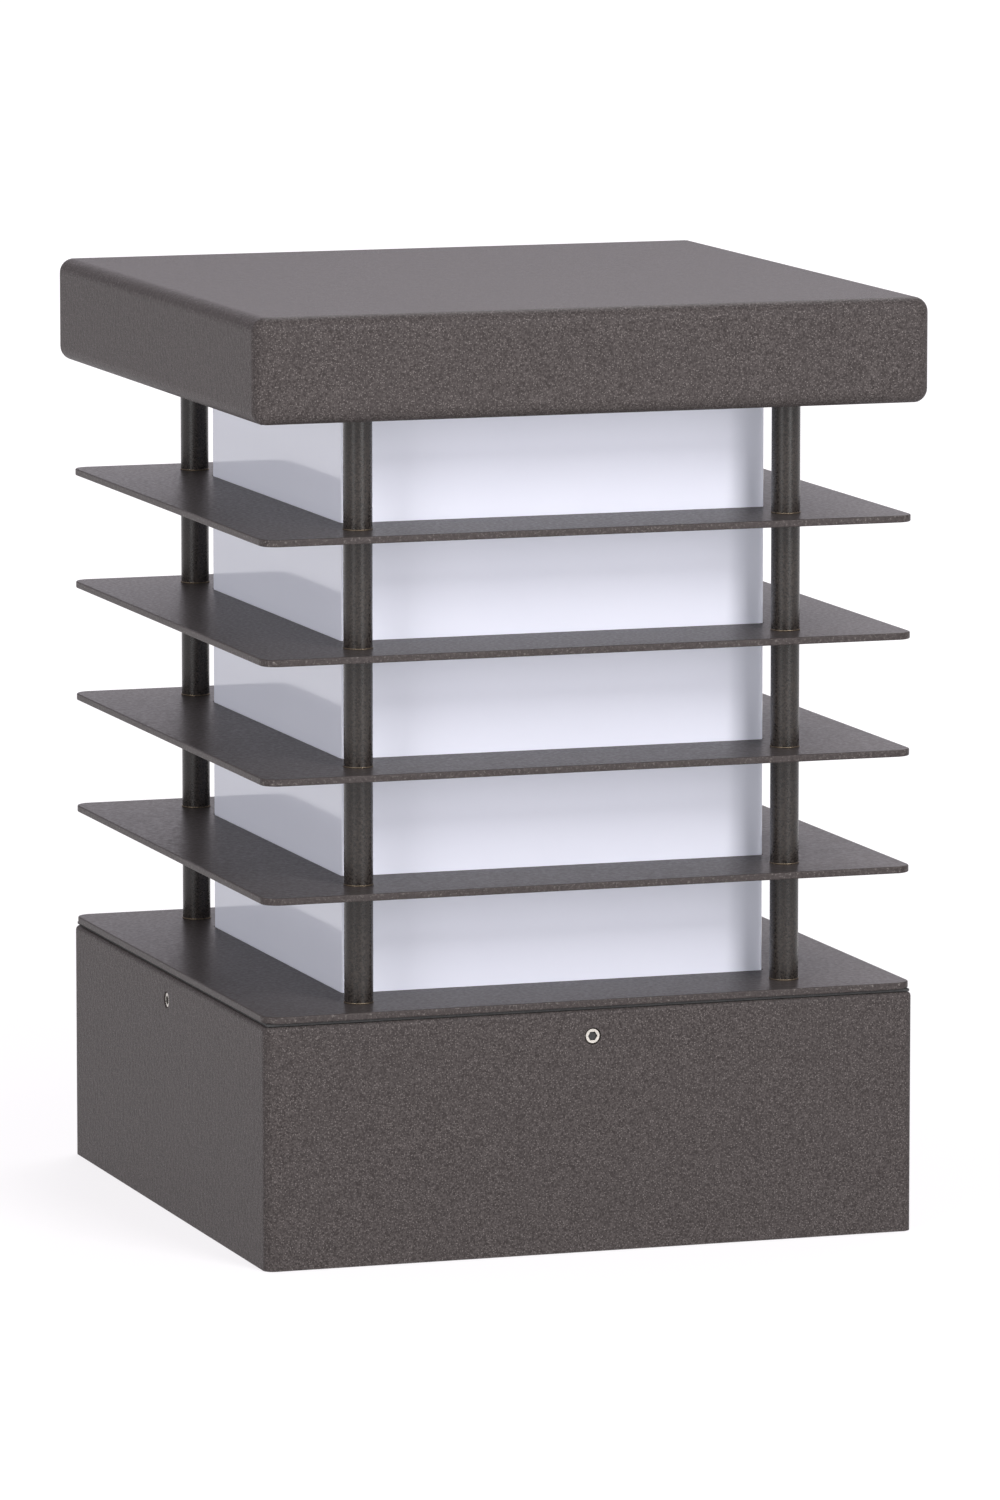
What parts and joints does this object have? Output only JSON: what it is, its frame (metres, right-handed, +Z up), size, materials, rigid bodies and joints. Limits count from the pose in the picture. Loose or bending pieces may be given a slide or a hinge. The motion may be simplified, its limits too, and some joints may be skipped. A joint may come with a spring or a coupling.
{
  "type": "bollard light",
  "caption": "Square louvred bollard light head: cast base box, stacked louvre plates on posts around an opal diffuser, flat cap, lift-off head and screw-in lamp.",
  "frame": {"origin": "centre of the base box's underside", "axes": "+Z up; -Y is the front face, +X to the right of it"},
  "size_m": [0.2068, 0.2068, 0.2777],
  "materials": {
    "textured_powder_coat": "coarse textured anthracite powder coat",
    "satin_powder_coat": "satin anthracite powder coat",
    "post_coat": "satin bronze-grey coat",
    "opal_acrylic": "polished opal acrylic",
    "stainless_steel": "machined stainless",
    "zinc_plated_steel": "bright zinc plate",
    "cast_aluminium": "as cast, fine grain",
    "black_rubber": "matt closed-cell foam and rubber",
    "white_enamel": "gloss white reflector paint",
    "black_nylon": "fine moulded grain",
    "white_porcelain": "glazed",
    "bare_brass": "machined, slightly dulled",
    "tinned_copper": "tinned",
    "natural_nylon": "natural moulded",
    "line_insulation": "extruded, brown",
    "neutral_insulation": "extruded, blue",
    "earth_insulation": "extruded, green with yellow stripe",
    "lamp_nickel": "nickel-plated, rolled thread",
    "lamp_white_plastic": "moulded white",
    "lamp_opal_plastic": "frosted opal",
    "led_board_white": "white solder mask",
    "driver_potting": "potted"
  },
  "bodies": {
    "base": {"base_box": "textured_powder_coat", "bracket_screws": "zinc_plated_steel", "cable_gland_body": "black_nylon", "cable_gland_nut": "black_nylon", "cable_gland_seal": "black_rubber", "cable_gland_washer": "black_rubber", "earth_lug": "tinned_copper", "earth_nut": "bare_brass", "earth_stud": "bare_brass", "holder_nipple": "zinc_plated_steel", "holder_nipple_nut": "zinc_plated_steel", "lamp_bracket": "zinc_plated_steel", "lampholder": "white_porcelain", "lampholder_contact": "bare_brass", "lampholder_shell": "bare_brass", "terminal_block": "natural_nylon", "terminal_fixings": "zinc_plated_steel", "terminal_screws": "zinc_plated_steel", "terminal_sleeves": "bare_brass", "wire_earth": "earth_insulation", "wire_line": "line_insulation", "wire_neutral": "neutral_insulation"},
    "head": {"cover_plate": "satin_powder_coat", "louvre_plate_1": "satin_powder_coat", "louvre_plate_2": "satin_powder_coat", "louvre_plate_3": "satin_powder_coat", "louvre_plate_4": "satin_powder_coat", "skirt_frame": "cast_aluminium", "head_gasket": "black_rubber", "diffuser": "opal_acrylic", "diffuser_seal_lower": "black_rubber", "diffuser_seal_upper": "black_rubber", "top_reflector": "white_enamel", "cap_closing_plate": "satin_powder_coat", "cap": "textured_powder_coat", "cap_screws": "stainless_steel", "tie_rod_front_left": "zinc_plated_steel", "tie_rod_front_right": "zinc_plated_steel", "tie_rod_back_left": "zinc_plated_steel", "tie_rod_back_right": "zinc_plated_steel", "spacers_front_left": "post_coat", "spacers_front_right": "post_coat", "spacers_back_left": "post_coat", "spacers_back_right": "post_coat", "rod_nuts_lower": "zinc_plated_steel", "rod_nuts_upper": "zinc_plated_steel", "rod_washers_lower": "zinc_plated_steel", "rod_washers_upper": "zinc_plated_steel"},
    "lamp": {"lamp_cap": "lamp_nickel", "lamp_contact": "lamp_nickel", "lamp_body": "lamp_white_plastic", "lamp_driver": "driver_potting", "lamp_led_board": "led_board_white", "lamp_dome": "lamp_opal_plastic"},
    "grub_front": {"grub_screw_front": "stainless_steel"},
    "grub_back": {"grub_screw_back": "stainless_steel"},
    "grub_left": {"grub_screw_left": "stainless_steel"},
    "grub_right": {"grub_screw_right": "stainless_steel"}
  },
  "joints": [
    {"name": "head_lift", "type": "slide", "parent": "base", "child": "head", "axis": [0, 0, 1], "range_m": [0, 0.15]},
    {"name": "lamp_unscrew", "type": "slide", "parent": "base", "child": "lamp", "axis": [0, 0, 1], "range_m": [0, 0.03]},
    {"name": "grub_front_out", "type": "slide", "parent": "base", "child": "grub_front", "axis": [0, -1, 0], "range_m": [0, 0.007]},
    {"name": "grub_back_out", "type": "slide", "parent": "base", "child": "grub_back", "axis": [0, 1, 0], "range_m": [0, 0.007]},
    {"name": "grub_left_out", "type": "slide", "parent": "base", "child": "grub_left", "axis": [-1, 0, 0], "range_m": [0, 0.007]},
    {"name": "grub_right_out", "type": "slide", "parent": "base", "child": "grub_right", "axis": [1, 0, 0], "range_m": [0, 0.007]}
  ]
}
